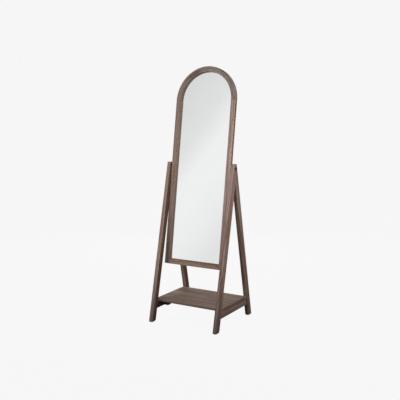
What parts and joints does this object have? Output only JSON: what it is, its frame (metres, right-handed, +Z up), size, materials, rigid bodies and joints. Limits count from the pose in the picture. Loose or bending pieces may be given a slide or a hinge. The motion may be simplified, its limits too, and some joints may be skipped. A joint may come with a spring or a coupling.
{
  "type": "cheval floor mirror",
  "caption": "Arched full-length mirror that tilts on friction pivots between two A-shaped wooden side frames, with a low shelf.",
  "frame": {"origin": "on the floor, midway between the four feet", "axes": "+X to the viewer's right when facing the glass, -Y out of the front of the glass, +Z up"},
  "size_m": [0.5092, 0.4946, 1.6478],
  "materials": {
    "stand_wood": "stained hardwood, matt lacquer",
    "shelf_wood": "stained hardwood, matt lacquer",
    "frame_wood": "stained hardwood, matt lacquer",
    "block_wood": "dark stained softwood",
    "dowel_wood": "bare beech",
    "hardboard": "brown hardboard, smooth face out",
    "silvered_glass": "silvered float glass",
    "black_steel": "black oxide",
    "zinc_steel": "zinc plated",
    "brass": "plain turned brass",
    "nylon": "black nylon"
  },
  "bodies": {
    "stand": {"left_front_leg": "stand_wood", "left_rear_leg": "stand_wood", "left_front_glide": "nylon", "left_rear_glide": "nylon", "left_front_rail_dowel": "dowel_wood", "left_rear_rail_dowel": "dowel_wood", "left_front_shelf_block": "block_wood", "left_rear_shelf_block": "block_wood", "left_front_block_screw": "zinc_steel", "left_rear_block_screw": "zinc_steel", "left_apex_dowel_1": "dowel_wood", "left_apex_dowel_2": "dowel_wood", "left_side_rail": "stand_wood", "left_head_washer": "black_steel", "right_front_leg": "stand_wood", "right_rear_leg": "stand_wood", "right_front_glide": "nylon", "right_rear_glide": "nylon", "right_front_rail_dowel": "dowel_wood", "right_rear_rail_dowel": "dowel_wood", "right_front_shelf_block": "block_wood", "right_rear_shelf_block": "block_wood", "right_front_block_screw": "zinc_steel", "right_rear_block_screw": "zinc_steel", "right_apex_dowel_1": "dowel_wood", "right_apex_dowel_2": "dowel_wood", "right_side_rail": "stand_wood", "right_head_washer": "black_steel", "shelf_board": "shelf_wood"},
    "mirror": {"left_stile": "frame_wood", "left_arch_segment": "frame_wood", "right_stile": "frame_wood", "right_arch_segment": "frame_wood", "mirror_bottom_rail": "frame_wood", "mirror_glass": "silvered_glass", "backing_board": "hardboard", "left_pivot_bolt": "black_steel", "left_friction_washer": "nylon", "left_threaded_insert": "brass", "left_backing_clip_1": "zinc_steel", "left_backing_clip_2": "zinc_steel", "left_backing_clip_3": "zinc_steel", "left_clip_screw_1": "zinc_steel", "left_clip_screw_2": "zinc_steel", "left_clip_screw_3": "zinc_steel", "left_bottom_rail_dowel": "dowel_wood", "left_spring_dowel": "dowel_wood", "right_pivot_bolt": "black_steel", "right_friction_washer": "nylon", "right_threaded_insert": "brass", "right_backing_clip_1": "zinc_steel", "right_backing_clip_2": "zinc_steel", "right_backing_clip_3": "zinc_steel", "right_clip_screw_1": "zinc_steel", "right_clip_screw_2": "zinc_steel", "right_clip_screw_3": "zinc_steel", "right_bottom_rail_dowel": "dowel_wood", "right_spring_dowel": "dowel_wood", "crown_dowel": "dowel_wood"}
  },
  "joints": [
    {"name": "mirror_tilt", "type": "hinge", "parent": "stand", "child": "mirror", "pos_m": [0, 0, 1.002], "axis": [1, 0, 0], "continuous": true}
  ]
}
